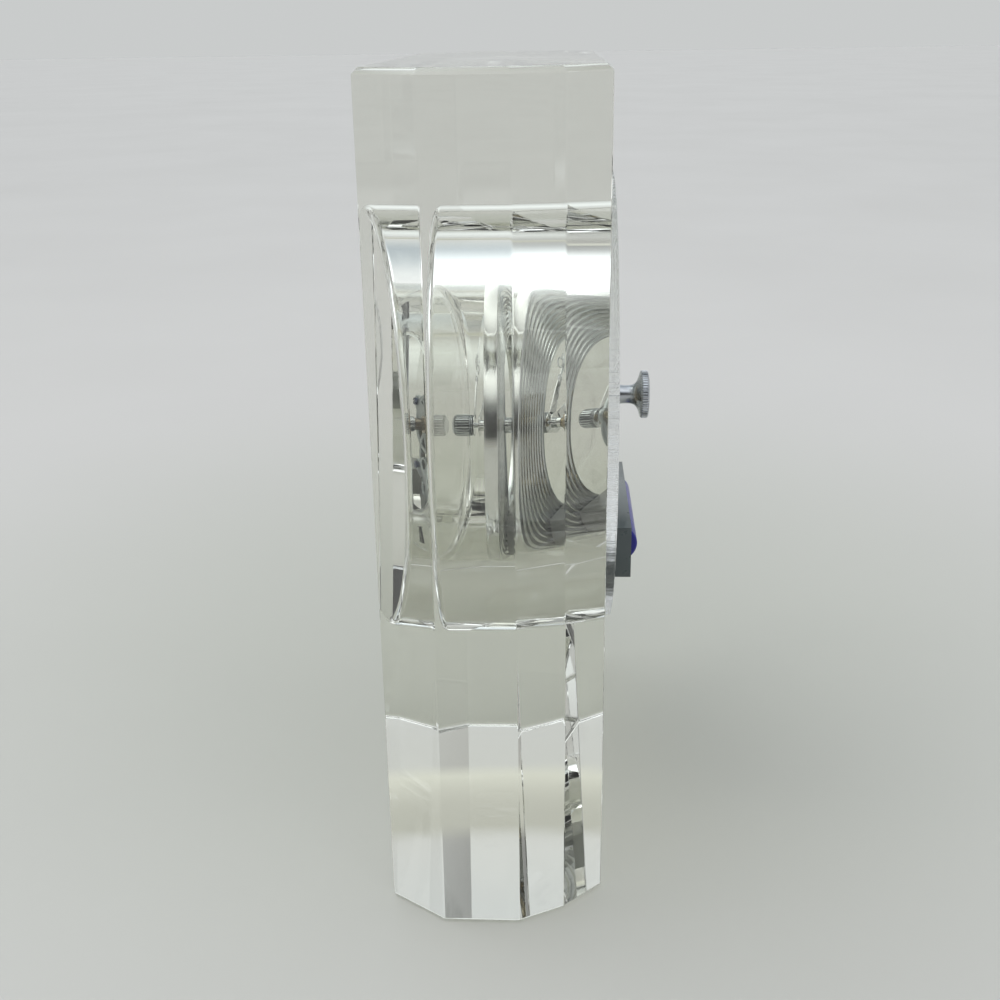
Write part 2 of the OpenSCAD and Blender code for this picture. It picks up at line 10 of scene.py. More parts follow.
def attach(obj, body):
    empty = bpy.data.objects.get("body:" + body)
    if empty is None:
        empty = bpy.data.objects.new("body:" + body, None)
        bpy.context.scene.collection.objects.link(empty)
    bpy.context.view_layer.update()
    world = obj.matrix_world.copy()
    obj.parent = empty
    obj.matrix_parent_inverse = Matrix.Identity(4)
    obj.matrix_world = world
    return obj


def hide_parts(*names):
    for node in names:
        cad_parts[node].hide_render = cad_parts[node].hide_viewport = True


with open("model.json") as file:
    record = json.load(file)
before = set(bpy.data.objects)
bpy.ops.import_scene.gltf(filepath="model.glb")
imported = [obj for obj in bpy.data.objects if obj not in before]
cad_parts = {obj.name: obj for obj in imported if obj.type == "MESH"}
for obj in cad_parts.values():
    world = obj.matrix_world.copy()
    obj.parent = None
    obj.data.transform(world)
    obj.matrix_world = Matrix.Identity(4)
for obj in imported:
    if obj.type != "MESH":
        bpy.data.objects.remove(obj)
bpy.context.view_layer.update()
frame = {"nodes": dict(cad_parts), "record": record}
N = frame["nodes"]
scene = bpy.context.scene

MM = 0.001
ZA = 124.4  # height of the clock's axis, mm

# ---------------------------------------------------------------------------
# camera
# ---------------------------------------------------------------------------
yaw, pitch, roll = math.radians(2.84), math.radians(20.74), math.radians(0.89)
fwd = Vector((-math.cos(yaw) * math.cos(pitch), -math.sin(yaw) * math.cos(pitch), -math.sin(pitch)))
right = fwd.cross(Vector((0, 0, 1))).normalized()
down = fwd.cross(right).normalized()
r2 = math.cos(roll) * right + math.sin(roll) * down
d2 = -math.sin(roll) * right + math.cos(roll) * down
cam_data = bpy.data.cameras.new("camera")
cam_data.sensor_fit = "HORIZONTAL"
cam_data.sensor_width = 36.0
cam_data.lens = 36.0 * 1.2507
cam_data.clip_start = 0.01
cam_data.clip_end = 50.0
cam = bpy.data.objects.new("camera", cam_data)
m = Matrix.Identity(4)
for i, axis in enumerate((r2, -d2, -fwd)):
    for j in range(3):
        m[j][i] = axis[j]
m.translation = Vector((0.3640, 0.0167, 0.2283))
cam.matrix_world = m
scene.collection.objects.link(cam)
scene.camera = cam


# ---------------------------------------------------------------------------
# materials
# ---------------------------------------------------------------------------
class Nodes:
    """A small helper that adds nodes and links to one material."""

    def __init__(self, name):
        self.mat = bpy.data.materials.new(name)
        self.mat.use_nodes = True
        self.t = self.mat.node_tree
        self.t.nodes.clear()
        self.out = self.t.nodes.new("ShaderNodeOutputMaterial")
        self.p = self.t.nodes.new("ShaderNodeBsdfPrincipled")
        self.t.links.new(self.p.outputs[0], self.out.inputs["Surface"])
        self.co = self.t.nodes.new("ShaderNodeTexCoord").outputs["Object"]

    def node(self, kind, **values):
        n = self.t.nodes.new(kind)
        for k, v in values.items():
            setattr(n, k, v)
        return n

    def link(self, a, b):
        self.t.links.new(a, b)

    def mapping(self, scale=(1, 1, 1), loc=(0, 0, 0), rot=(0, 0, 0), src=None):
        n = self.node("ShaderNodeMapping")
        n.inputs["Scale"].default_value = scale
        n.inputs["Location"].default_value = loc
        n.inputs["Rotation"].default_value = rot
        self.link(src or self.co, n.inputs["Vector"])
        return n.outputs[0]

    def noise(self, scale, detail=3.0, rough=0.5, vec=None, distortion=0.0):
        n = self.node("ShaderNodeTexNoise")
        n.inputs["Scale"].default_value = scale
        n.inputs["Detail"].default_value = detail
        n.inputs["Roughness"].default_value = rough
        n.inputs["Distortion"].default_value = distortion
        self.link(vec or self.co, n.inputs["Vector"])
        return n.outputs["Fac"]

    def ramp(self, fac, a, b, pa=0.3, pb=0.7):
        n = self.node("ShaderNodeValToRGB")
        n.color_ramp.elements[0].position = pa
        n.color_ramp.elements[1].position = pb
        n.color_ramp.elements[0].color = tuple(a) + (1,) if len(a) == 3 else a
        n.color_ramp.elements[1].color = tuple(b) + (1,) if len(b) == 3 else b
        self.link(fac, n.inputs["Fac"])
        return n.outputs["Color"]

    def range(self, fac, a, b, lo=0.3, hi=0.7):
        n = self.node("ShaderNodeMapRange")
        n.inputs["From Min"].default_value = lo
        n.inputs["From Max"].default_value = hi
        n.inputs["To Min"].default_value = a
        n.inputs["To Max"].default_value = b
        self.link(fac, n.inputs["Value"])
        return n.outputs[0]

    def math(self, op, a, b=None):
        n = self.node("ShaderNodeMath", operation=op)
        for i, v in enumerate((a, b)):
            if v is None:
                continue
            if isinstance(v, (int, float)):
                n.inputs[i].default_value = v
            else:
                self.link(v, n.inputs[i])
        return n.outputs[0]

    def radius(self, cx, cz):
        """Distance from a Y axis through (cx, cz), in metres."""
        s = self.node("ShaderNodeSeparateXYZ")
        self.link(self.co, s.inputs[0])
        x = self.math("SUBTRACT", s.outputs[0], cx)
        z = self.math("SUBTRACT", s.outputs[2], cz)
        return self.math("SQRT", self.math("ADD", self.math("MULTIPLY", x, x), self.math("MULTIPLY", z, z)))

    def angle(self, cx, cz):
        s = self.node("ShaderNodeSeparateXYZ")
        self.link(self.co, s.inputs[0])
        return self.math("ARCTAN2", self.math("SUBTRACT", s.outputs[2], cz), self.math("SUBTRACT", s.outputs[0], cx))

    def bump(self, height, strength, distance, after=None):
        n = self.node("ShaderNodeBump")
        n.inputs["Strength"].default_value = strength
        n.inputs["Distance"].default_value = distance
        self.link(height, n.inputs["Height"])
        if after is not None:
            self.link(after, n.inputs["Normal"])
        return n.outputs[0]

    def set(self, **values):
        for k, v in values.items():
            self.p.inputs[k.replace("_", " ")].default_value = v

    def into(self, **links):
        for k, v in links.items():
            self.link(v, self.p.inputs[k.replace("_", " ")])


def metal(name, dark, light, rough=(0.12, 0.22), grain=None, grain_strength=0.15, centre=None, fine=900.0, tarnish=None, bright_from=None, groove_shade=None):
    """Metal with soft colour variation, smudged roughness and a grain that is turned, brushed or plain, optionally with
    painted shade darkening the bottoms of grooves.
    """
    n = Nodes(name)
    n.set(Metallic=1.0)
    broad = n.noise(60.0, 4.0, 0.6)
    col = n.ramp(broad, dark, light, 0.25, 0.75)
    if tarnish is not None:
        spots = n.noise(420.0, 5.0, 0.65)
        mix = n.node("ShaderNodeMix", data_type="RGBA")
        n.link(n.range(spots, 0.0, 0.75, 0.55, 0.75), mix.inputs[0])
        n.link(col, mix.inputs[6])
        mix.inputs[7].default_value = tuple(tarnish) + (1,)
        col = mix.outputs[2]
    # painted shade: below the given radius (the groove bottoms) and behind the given depth, the colour is darkened to
    # 0.42 of the dark tone
    if groove_shade is not None:
        at = n.node("ShaderNodeSeparateXYZ")
        n.link(n.co, at.inputs[0])
        deep = n.range(n.radius(0.0, ZA * MM), 1.0, 0.0, (groove_shade[0] - 0.32) * MM, (groove_shade[0] - 0.08) * MM)
        body = n.range(at.outputs[1], 0.0, 1.0, (groove_shade[1] - 0.2) * MM, groove_shade[1] * MM)
        groove_shade_mix = n.node("ShaderNodeMix", data_type="RGBA")
        n.link(n.math("MULTIPLY", deep, body), groove_shade_mix.inputs[0])
        n.link(col, groove_shade_mix.inputs[6])
        groove_shade_mix.inputs[7].default_value = tuple(0.42 * v for v in dark) + (1,)
        col = groove_shade_mix.outputs[2]
    n.into(Base_Color=col)
    smudge = n.noise(150.0, 5.0, 0.6)
    n.into(Roughness=n.range(smudge, rough[0], rough[1]))
    if grain == "turned":
        r = n.radius(centre[0] * MM, centre[1] * MM)
        warp = n.math("ADD", n.math("MULTIPLY", r, fine * 9.0), n.math("MULTIPLY", n.noise(90.0, 2.0), 1.2))
        h = n.math("ADD", n.math("SINE", warp), n.math("SINE", n.math("MULTIPLY", r, fine * 3.7)))
        n.into(Normal=n.bump(h, grain_strength, 0.00002))
        if bright_from is not None:
            rim = n.node("ShaderNodeMix", data_type="RGBA")
            s = n.node("ShaderNodeSeparateXYZ")
            n.link(n.co, s.inputs[0])
            front = n.range(s.outputs[1], 1.0, 0.0, -0.0010, -0.0004)
            n.link(n.math("MAXIMUM", front, n.range(r, 0.0, 1.0, (bright_from - 0.4) * MM, bright_from * MM)), rim.inputs[0])
            n.link(col, rim.inputs[6])
            rim.inputs[7].default_value = (0.84, 0.85, 0.86, 1)
            n.into(Base_Color=rim.outputs[2])
    elif grain == "brushed":
        h = n.noise(fine, 3.0, 0.6, n.mapping((1.0, 1.0, 0.03)))
        n.into(Normal=n.bump(h, grain_strength, 0.00003))
    else:
        h = n.noise(fine, 4.0, 0.55)
        n.into(Normal=n.bump(h, grain_strength, 0.00002))
    return n.mat


def plastic(name, dark, light, rough=(0.38, 0.52), grain=2600.0, strength=0.25, coat=0.0):
    """Moulded plastic: fine spark texture, faint flow colour and rubbed patches."""
    n = Nodes(name)
    n.into(Base_Color=n.ramp(n.noise(45.0, 4.0, 0.6), dark, light, 0.3, 0.7))
    n.into(Roughness=n.range(n.noise(120.0, 5.0, 0.6), rough[0], rough[1]))
    n.into(Normal=n.bump(n.noise(grain, 3.0, 0.6), strength, 0.00004))
    n.set(Specular_IOR_Level=0.5)
    if coat:
        n.set(Coat_Weight=coat, Coat_Roughness=0.08)
    return n.mat


def glass(name, tint, ior, scratch=0.6, rim=None):
    """Polished clear solid: lamps reach what it holds, with faint polish marks and dust on the surface."""
    n = Nodes(name)
    n.set(Base_Color=tuple(tint) + (1,), IOR=ior, Transmission_Weight=1.0)
    marks = n.noise(35.0, 6.0, 0.62)
    n.into(Roughness=n.range(marks, 0.0, 0.012, 0.45, 0.8))
    wav = n.noise(28.0, 2.0, 0.5)
    fine = n.noise(520.0, 4.0, 0.6)
    h = n.math("ADD", n.math("MULTIPLY", wav, 1.0), n.math("MULTIPLY", fine, 0.03))
    surface = n.bump(h, 0.05 * scratch, 0.0004)
    if rim is not None:
        around = n.node("ShaderNodeCombineXYZ")
        n.link(n.math("MULTIPLY", n.angle(0.0, ZA * MM), rim * MM), around.inputs[0])
        cuts = n.noise(1500.0, 3.0, 0.7, around.outputs[0])
        steps = n.noise(260.0, 1.0, 0.5, around.outputs[0])
        cuts = n.math("MULTIPLY", cuts, n.range(steps, 0.25, 1.0, 0.42, 0.58))
        edge = n.range(n.radius(0.0, ZA * MM), 0.0, 1.0, (rim + 0.3) * MM, (rim + 0.42) * MM)
        surface = n.bump(n.math("MULTIPLY", cuts, edge), 1.0, 0.0007, surface)
    n.into(Normal=surface)
    clear = n.node("ShaderNodeBsdfTransparent")
    clear.inputs[0].default_value = (0.86, 0.872, 0.848, 1)
    mix = n.node("ShaderNodeMixShader")
    n.link(n.node("ShaderNodeLightPath").outputs["Is Shadow Ray"], mix.inputs[0])
    n.link(n.p.outputs[0], mix.inputs[1])
    n.link(clear.outputs[0], mix.inputs[2])
    n.link(mix.outputs[0], n.out.inputs["Surface"])
    return n.mat


AX = (0.0, ZA)
mats = {
    "block_glass": glass("block_glass", (0.865, 0.870, 0.808), 1.52),
    "clear_acrylic": glass("clear_acrylic", (0.965, 0.975, 0.972), 1.49, 0.6, 65.5),
    "chrome": metal("chrome", (0.46, 0.475, 0.47), (0.58, 0.595, 0.59), (0.05, 0.12), "turned", 0.10, AX, 900.0, None, 59.3),
    "numeral_black": plastic("numeral_black", (0.010, 0.010, 0.012), (0.020, 0.020, 0.022), (0.12, 0.22), 900.0, 0.1, 0.6),
    "hand_silver": metal("hand_silver", (0.74, 0.75, 0.76), (0.86, 0.87, 0.88), (0.07, 0.16), None, 0.10, None, 2200.0),
    "satin_silver": metal("satin_silver", (0.42, 0.44, 0.46), (0.60, 0.62, 0.64), (0.16, 0.28), None, 0.30, None, 3200.0),
    # the last argument paints shade into the bottoms of the nut's grooves
    "nut_silver": metal("nut_silver", (0.52, 0.54, 0.56), (0.70, 0.72, 0.74), (0.14, 0.24), None, 0.25, None, 3200.0, None, None, (4.7, -14.6)),
    "carrier_grey": plastic("carrier_grey", (0.215, 0.220, 0.206), (0.275, 0.280, 0.262), (0.24, 0.38)),
    "holder_grey": plastic("holder_grey", (0.060, 0.078, 0.080), (0.088, 0.108, 0.110), (0.24, 0.38), coat=0.25),
    "screw_steel": metal("screw_steel", (0.46, 0.47, 0.49), (0.66, 0.67, 0.69), (0.16, 0.30), None, 0.3, None, 2500.0),
    "contact_nickel": metal("contact_nickel", (0.60, 0.60, 0.58), (0.76, 0.76, 0.73), (0.14, 0.26), "brushed", 0.2),
    "cell_blue": plastic("cell_blue", (0.001, 0.001, 0.20), (0.002, 0.003, 0.30), (0.26, 0.36), 500.0, 0.1, 0.12),
    "plate_grey": metal("plate_grey", (0.34, 0.37, 0.38), (0.52, 0.55, 0.56), (0.26, 0.40), "brushed", 0.35, None, 1400.0),
    "brass": metal("brass", (0.42, 0.35, 0.22), (0.62, 0.53, 0.36), (0.14, 0.26), "brushed", 0.25, None, 1500.0),
    "blued_screw": metal("blued_screw", (0.05, 0.06, 0.11), (0.10, 0.12, 0.20), (0.14, 0.24), None, 0.2, None, 1800.0),
    "bush_brass": metal("bush_brass", (0.36, 0.31, 0.25), (0.56, 0.50, 0.42), (0.16, 0.30), None, 0.3, None, 1500.0, (0.16, 0.13, 0.10)),
    "steel": metal("steel", (0.56, 0.57, 0.59), (0.72, 0.73, 0.75), (0.10, 0.20), None, 0.15, None, 2600.0),
    "iron_sheet": metal("iron_sheet", (0.30, 0.31, 0.33), (0.48, 0.49, 0.51), (0.28, 0.42), "brushed", 0.4, None, 1200.0),
    "bobbin_white": plastic("bobbin_white", (0.62, 0.62, 0.57), (0.74, 0.74, 0.70), (0.34, 0.46)),
    "board_green": plastic("board_green", (0.008, 0.060, 0.024), (0.016, 0.100, 0.045), (0.20, 0.32), 1500.0, 0.2, 0.5),
    "chip_black": plastic("chip_black", (0.008, 0.008, 0.009), (0.016, 0.016, 0.018), (0.3, 0.45)),
    "magnet": metal("magnet", (0.10, 0.10, 0.105), (0.20, 0.20, 0.21), (0.30, 0.48), None, 0.4, None, 1500.0),
    "pinion_nylon": plastic("pinion_nylon", (0.66, 0.66, 0.58), (0.78, 0.78, 0.72), (0.30, 0.42)),
}


def winding():
    n = Nodes("copper")
    n.set(Metallic=1.0)
    n.into(Base_Color=n.ramp(n.noise(200.0, 3.0), (0.36, 0.10, 0.02), (0.62, 0.24, 0.07)))
    s = n.node("ShaderNodeSeparateXYZ")
    n.link(n.co, s.inputs[0])
    turns = n.math("SINE", n.math("MULTIPLY", s.outputs[0], 2 * math.pi / 0.00016))
    n.into(Roughness=n.range(turns, 0.24, 0.42, -1, 1), Normal=n.bump(turns, 0.6, 0.00006))
    return n.mat


mats["copper"] = winding()

node_slot = {s["node"]: s["material_slot"] for s in frame["record"]["subparts"]}
for name, obj in N.items():
    for i in range(max(1, len(obj.material_slots))):
        if not obj.material_slots:
            obj.data.materials.append(mats[node_slot[name]])
        else:
            obj.material_slots[i].material = mats[node_slot[name]]

# ---------------------------------------------------------------------------
# detailed pieces
# ---------------------------------------------------------------------------


def new_object(name, bm, mat, smooth=None):
    me = bpy.data.meshes.new(name)
    bmesh.ops.recalc_face_normals(bm, faces=bm.faces[:])
    bm.to_mesh(me)
    bm.free()
    ob = bpy.data.objects.new(name, me)
    scene.collection.objects.link(ob)
    me.materials.append(mat)
    if smooth is not None:
        shade(ob, smooth)
    return ob


def shade(ob, degrees):
    """Smooth faces, with edges over the angle kept sharp."""
    me = ob.data
    bm = bmesh.new()
    bm.from_mesh(me)
    lim = math.radians(degrees)
    for f in bm.faces:
        f.smooth = True
    for e in bm.edges:
        e.smooth = len(e.link_faces) == 2 and e.calc_face_angle(0.0) < lim
    bm.to_mesh(me)
    bm.free()


def apply_mods(ob):
    """Turns a modified mesh into a plain one."""
    deps = bpy.context.evaluated_depsgraph_get()
    me = bpy.data.meshes.new_from_object(ob.evaluated_get(deps))
    old = ob.data
    ob.modifiers.clear()
    ob.data = me
    me.name = ob.name
    bpy.data.meshes.remove(old)


HD = 29.0
SIDE = [(76.0, -HD), (86.5, -14.0), (86.6, 6.4), (80.3, 18.5), (70.4, HD)]
OUT = SIDE + [(-x, y) for x, y in reversed(SIDE)]
H, CT, CB, RB = 220.5, 1.5, 1.0, 60.0


def inset(poly, d):
    """A convex polygon moved inwards by d on every side."""
    n, out = len(poly), []
    for i in range(n):
        p, q, r = (Vector(poly[(i + k - 1) % n]) for k in range(3))
        a, b = (q - p).normalized(), (r - q).normalized()
        na, nb = Vector((-a.y, a.x)), Vector((-b.y, b.x))
        k = d / (1.0 + na.dot(nb))
        out.append(tuple(q + (na + nb) * k))
    return out


def revolve(bm, prof, segs, cx=0.0, cz=ZA, cap=(True, True), depth=None, axis="Y"):
    """Rows of (radius, y) in mm turned about a Y axis; depth(k, r, y) may change the radius of each corner."""
    rows = []
    for r, y in prof:
        row = []
        for k in range(segs):
            a = 2 * math.pi * k / segs
            q = depth(a, r, y) if depth else r
            row.append(bm.verts.new(((cx + q * math.cos(a)) * MM, y * MM, (cz + q * math.sin(a)) * MM)))
        rows.append(row)
    for u, v in zip(rows, rows[1:]):
        for k in range(segs):
            bm.faces.new((u[k], u[(k + 1) % segs], v[(k + 1) % segs], v[k]))
    if cap == "ring":
        for k in range(segs):
            bm.faces.new((rows[-1][k], rows[-1][(k + 1) % segs], rows[0][(k + 1) % segs], rows[0][k]))
        return rows
    if cap[0]:
        bm.faces.new(rows[0])
    if cap[1]:
        bm.faces.new(list(reversed(rows[-1])))
    return rows


def cut_with(ob, tool):
    mod = ob.modifiers.new("cut", "BOOLEAN")
    mod.operation = "DIFFERENCE"
    mod.solver = "EXACT"
    mod.object = tool
    apply_mods(ob)
    bpy.data.objects.remove(tool)


def arris(ob, width, segments=2, angle=9.0):
    """A small polished round on every edge sharper than the angle."""
    bev = ob.modifiers.new("arris", "BEVEL")
    bev.width = width * MM
    bev.segments = segments
    bev.limit_method = "ANGLE"
    bev.angle_limit = math.radians(angle)
    bev.use_clamp_overlap = True
    apply_mods(ob)


def flats(ob, area_mm2, degrees, keep=lambda f: False):
    """Planes stay truly flat; the small faces between them and the faces picked by keep are smooth."""
    me = ob.data
    bm = bmesh.new()
    bm.from_mesh(me)
    lim = math.radians(degrees)
    for f in bm.faces:
        f.smooth = keep(f) or f.calc_area() < area_mm2 * 1e-6
    for e in bm.edges:
        e.smooth = len(e.link_faces) == 2 and e.calc_face_angle(0.0) < lim
    bm.to_mesh(me)
    bm.free()


PF, PR = 16.0, 2.2  # the pocket's front wall and the round of its inner corner


def glass_block():
    """The faceted block with its top and base bevels, then the pocket with a rounded inner corner."""
    bm = bmesh.new()
    rings = []
    for z, d in ((0.0, CB), (CB, 0.0), (H - CT, 0.0), (H, CT)):
        rings.append([bm.verts.new((x * MM, y * MM, z * MM)) for x, y in inset(OUT, d)])
    n = len(OUT)
    for a, b in zip(rings, rings[1:]):
        for i in range(n):
            bm.faces.new((a[i], a[(i + 1) % n], b[(i + 1) % n], b[i]))
    bm.faces.new(list(reversed(rings[0])))
    bm.faces.new(rings[-1])
    ob = new_object("block_polished", bm, mats["block_glass"])
    cut = bmesh.new()
    steps = 14
    prof = [(RB - PR + PR * math.sin(math.pi / 2 * k / steps), -PF + PR - PR * math.cos(math.pi / 2 * k / steps)) for k in range(steps + 1)]
    revolve(cut, prof + [(RB, HD - 0.5), (RB + 1.5, HD + 1.0)], 288)
    cut_with(ob, new_object("pocket_cutter", cut, mats["block_glass"]))
    arris(ob, 0.28, 2, 9.0)

    def wall(f):
        return all(abs(math.hypot(v.co.x, v.co.z - ZA * MM) - RB * MM) < 2e-5 for v in f.verts) and abs(f.normal.y) < 0.1

    flats(ob, 40.0, 40.0, wall)
    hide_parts("glass_block")
    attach(ob, "case")
    return ob


block = glass_block()

def hand(name, node, body, angle, y_back, y_edge, y_top, shape):
    """A coined hand: bars with a ridge along the middle, a turned knop and flattened curls, drawn along +Z and turned clockwise by angle."""
    bm = bmesh.new()

    def bar(stations):
        """stations: (distance along the hand, half width); the ridge is lower where the bar is narrow."""
        wmax = max(w for _, w in stations)
        rings = []
        for v, w in stations:
            top = y_edge + (y_top - y_edge) * min(1.0, 0.35 + 0.65 * w / wmax)
            rings.append([bm.verts.new((u * MM, y * MM, v * MM)) for u, y in
                          ((-w, y_back), (-w, y_edge), (-0.06 * w, top), (0.06 * w, top), (w, y_edge), (w, y_back))])
        for a, b in zip(rings, rings[1:]):
            for i in range(6):
                bm.faces.new((a[i], a[(i + 1) % 6], b[(i + 1) % 6], b[i]))
        bm.faces.new(rings[0])
        bm.faces.new(list(reversed(rings[-1])))

    def ball(v, r, ry):
        res = bmesh.ops.create_uvsphere(bm, u_segments=28, v_segments=14, radius=1.0)
        mid = (y_back + y_edge) / 2
        for q in res["verts"]:
            q.co = Vector((q.co.x * r * MM, (mid + q.co.y * ry) * MM, (v + q.co.z * r) * MM))

    def curl(cu, cv, r, w, a0=0.0, a1=360.0):
        steps = max(16, int((a1 - a0) / 9))
        closed = a1 - a0 >= 359.9
        rings = []
        for k in range(steps + (0 if closed else 1)):
            a = math.radians(a0 + (a1 - a0) * k / steps)
            taper = 1.0 if closed else 1.0 - 0.45 * k / steps
            ring = []
            for j in range(8):
                b = 2 * math.pi * j / 8
                rr = r + w * taper * math.cos(b)
                yy = (y_back + y_edge) / 2 + (y_back - y_edge) * 0.62 * math.sin(b)
                ring.append(bm.verts.new(((cu + rr * math.cos(a)) * MM, yy * MM, (cv + rr * math.sin(a)) * MM)))
            rings.append(ring)
        pairs = list(zip(rings, rings[1:])) + ([(rings[-1], rings[0])] if closed else [])
        for a, b in pairs:
            for j in range(8):
                bm.faces.new((a[j], a[(j + 1) % 8], b[(j + 1) % 8], b[j]))
        if not closed:
            bm.faces.new(rings[0])
            bm.faces.new(list(reversed(rings[-1])))

    def hub(ro, ri):
        segs = 72
        rows = []
        for r, y in ((ri, y_back), (ri, y_edge), (ro - 0.25, y_edge), (ro, y_edge + 0.1), (ro, y_back)):
            rows.append([bm.verts.new((r * math.cos(2 * math.pi * k / segs) * MM, y * MM, r * math.sin(2 * math.pi * k / segs) * MM)) for k in range(segs)])
        rows.append(rows[0])
        for a, b in zip(rows, rows[1:]):
            for k in range(segs):
                bm.faces.new((a[k], a[(k + 1) % segs], b[(k + 1) % segs], b[k]))

    shape(bar, ball, curl, hub)
    t = Matrix.Translation((0, 0, ZA * MM)) @ Matrix.Rotation(math.radians(angle), 4, "Y")
    bm.transform(t)
    ob = new_object(name, bm, mats["hand_silver"], 32)
    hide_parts(node)
    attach(ob, body)
    return ob


def minute_shape(bar, ball, curl, hub):
    hub(4.7, 1.01)
    bar([(3.6, 2.55), (6, 2.5), (12, 2.05), (18, 1.6), (20.6, 1.4)])
    ball(22.0, 2.1, 0.42)
    bar([(23.6, 0.9), (26, 0.72), (30, 0.72)])
    for q in (-1, 1):
        curl(q * 2.95, 29.2, 2.3, 0.52)
        curl(q * 1.95, 33.2, 1.28, 0.42)
    bar([(29.5, 0.7), (31.5, 1.65), (34.5, 1.55), (38.5, 1.0), (43, 0.5), (46.4, 0.12)])


minute = hand("hand_minute", "minute_hand", "minute_arbor", 329.0, -9.12, -9.36, -9.6, minute_shape)


def hour_shape(bar, ball, curl, hub):
    hub(4.7, 1.92)
    bar([(3.6, 2.5), (6, 2.4), (10, 2.0), (13.2, 1.6)])
    ball(14.4, 2.1, 0.42)
    bar([(15.8, 0.95), (18, 0.78), (22, 0.78)])
    for q in (-1, 1):
        curl(q * 3.35, 20.0, 2.6, 0.6)
        curl(q * 2.15, 24.4, 1.5, 0.46)
    bar([(21.0, 0.8), (22.6, 1.95), (25.5, 1.75), (28.6, 1.1), (31, 0.6), (32.9, 0.14)])


hour = hand("hand_hour", "hour_hand", "hour_pipe", 297.4, -7.62, -7.86, -8.1, hour_shape)


def hour_socket():
    """The short turned socket behind the hour hand."""
    bm = bmesh.new()
    revolve(bm, [(1.92, -7.6), (2.35, -7.6), (2.35, -5.7), (2.2, -5.5), (1.92, -5.5)], 96, cap="ring")
    ob = new_object("hand_hour_socket", bm, mats["hand_silver"], 30)
    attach(ob, "hour_pipe")
    return ob


hour_socket()


def part(name, bm, slot, node, body, smooth=30):
    ob = new_object(name, bm, mats[slot], smooth)
    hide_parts(node)
    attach(ob, body)
    return ob


def dial_ring():
    """The polished ring with rounded turned grooves on its back and a recessed numeral band on its front."""
    bm = bmesh.new()
    ro, ri, t = 59.5, 38.4, 3.5
    prof = [(ri, -t / 2 + 0.3), (ri + 0.09, -t / 2 + 0.09), (ri + 0.3, -t / 2), (ri + 1.5, -t / 2), (ri + 1.8, -t / 2 + 0.3),
            (ro - 2.2, -t / 2 + 0.3), (ro - 1.9, -t / 2), (ro - 0.45, -t / 2), (ro - 0.13, -t / 2 + 0.12), (ro, -t / 2 + 0.42),
            (ro, t / 2 - 0.42), (ro - 0.13, t / 2 - 0.12), (ro - 0.45, t / 2)]
    gp = (ro - ri - 1.6) / 10
    for i in range(9, -1, -1):
        a = ri + 0.8 + i * gp
        prof.append((a + gp * 0.82, t / 2))
        for k in range(1, 8):
            u = k / 8
            prof.append((a + gp * (0.82 - 0.64 * u), t / 2 - 0.4 * math.sin(math.pi * u) ** 0.7))
        prof.append((a + gp * 0.18, t / 2))
    prof += [(ri + 0.3, t / 2), (ri + 0.09, t / 2 - 0.09), (ri, t / 2 - 0.3)]
    revolve(bm, prof, 320, cap="ring")
    ob = new_object("ring_turned", bm, mats["chrome"])
    for sgn in (-1, 1):
        box = bmesh.new()
        bmesh.ops.create_cube(box, size=1.0, matrix=Matrix.Translation((0, -1.675 * MM, (ZA + sgn * 40.8) * MM)) @ Matrix.Diagonal((5.2 * MM, 2.15 * MM, 5.8 * MM, 1)))
        bmesh.ops.translate(box, verts=box.verts[:], vec=(0, 0, 0))
        cut_with(ob, new_object("seat_cutter", box, mats["chrome"]))
    shade(ob, 24)
    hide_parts("dial_ring")
    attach(ob, "case")
    return ob


dial_ring()


def rear_disc():
    """The clear rear disc with polished edges, the arbor's hole and the opening for the battery holder."""
    bm = bmesh.new()
    y0, y1 = HD + 0.04, HD + 3.0
    revolve(bm, [(65.7, y0), (65.91, y0 + 0.09), (66.0, y0 + 0.3), (66.0, y1 - 0.3), (65.91, y1 - 0.09), (65.7, y1)], 288)
    ob = new_object("disc_polished", bm, mats["clear_acrylic"])
    box = bmesh.new()
    x0, x1, z0, z1 = -18.55, 38.55, 81.55, 96.65
    bmesh.ops.create_cube(box, size=1.0, matrix=Matrix.Translation(((x0 + x1) / 2 * MM, 30.5 * MM, (z0 + z1) / 2 * MM)) @ Matrix.Diagonal(((x1 - x0) * MM, 0.006, (z1 - z0) * MM, 1)))
    cut_with(ob, new_object("slot_cutter", box, mats["clear_acrylic"]))
    hole = bmesh.new()
    revolve(hole, [(1.6, HD - 1), (1.6, HD + 4)], 64)
    cut_with(ob, new_object("hole_cutter", hole, mats["clear_acrylic"]))
    shade(ob, 30)
    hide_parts("rear_disc")
    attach(ob, "case")
    return ob


rear_disc()


def fluted(n, depth, y_from, y_to, r_min):
    """Radius of a knob with n rounded grooves between two depths."""
    def f(a, r, y):
        if r < r_min or not y_from <= y <= y_to:
            return r
        u = (a * n / (2 * math.pi)) % 1.0
        return r - depth * max(0.0, math.cos(2 * math.pi * (u - 0.5))) ** 0.55 * (1.0 if math.cos(2 * math.pi * (u - 0.5)) > 0 else 0.0)
    return f


def cap_nut():
    bm = bmesh.new()
    prof = [(0.4, -15.4), (1.2, -15.39), (2.2, -15.35), (2.9, -15.22), (3.4, -15.05), (3.9, -14.82), (4.3, -14.5), (4.55, -14.2), (4.7, -13.9),
            (4.7, -12.2), (4.7, -10.62), (4.66, -10.5), (4.4, -10.48), (4.4, -10.3), (4.62, -10.27), (4.5, -10.0), (1.02, -10.0), (1.02, -13.65), (0.3, -13.65)]
    revolve(bm, prof, 24 * 14, depth=fluted(24, 0.42, -15.1, -10.5, 3.3))
    nut = part("nut_fluted", bm, "satin_silver", "cap_nut", "minute_arbor", 26)
    nut.data.materials[0] = mats["nut_silver"]


cap_nut()


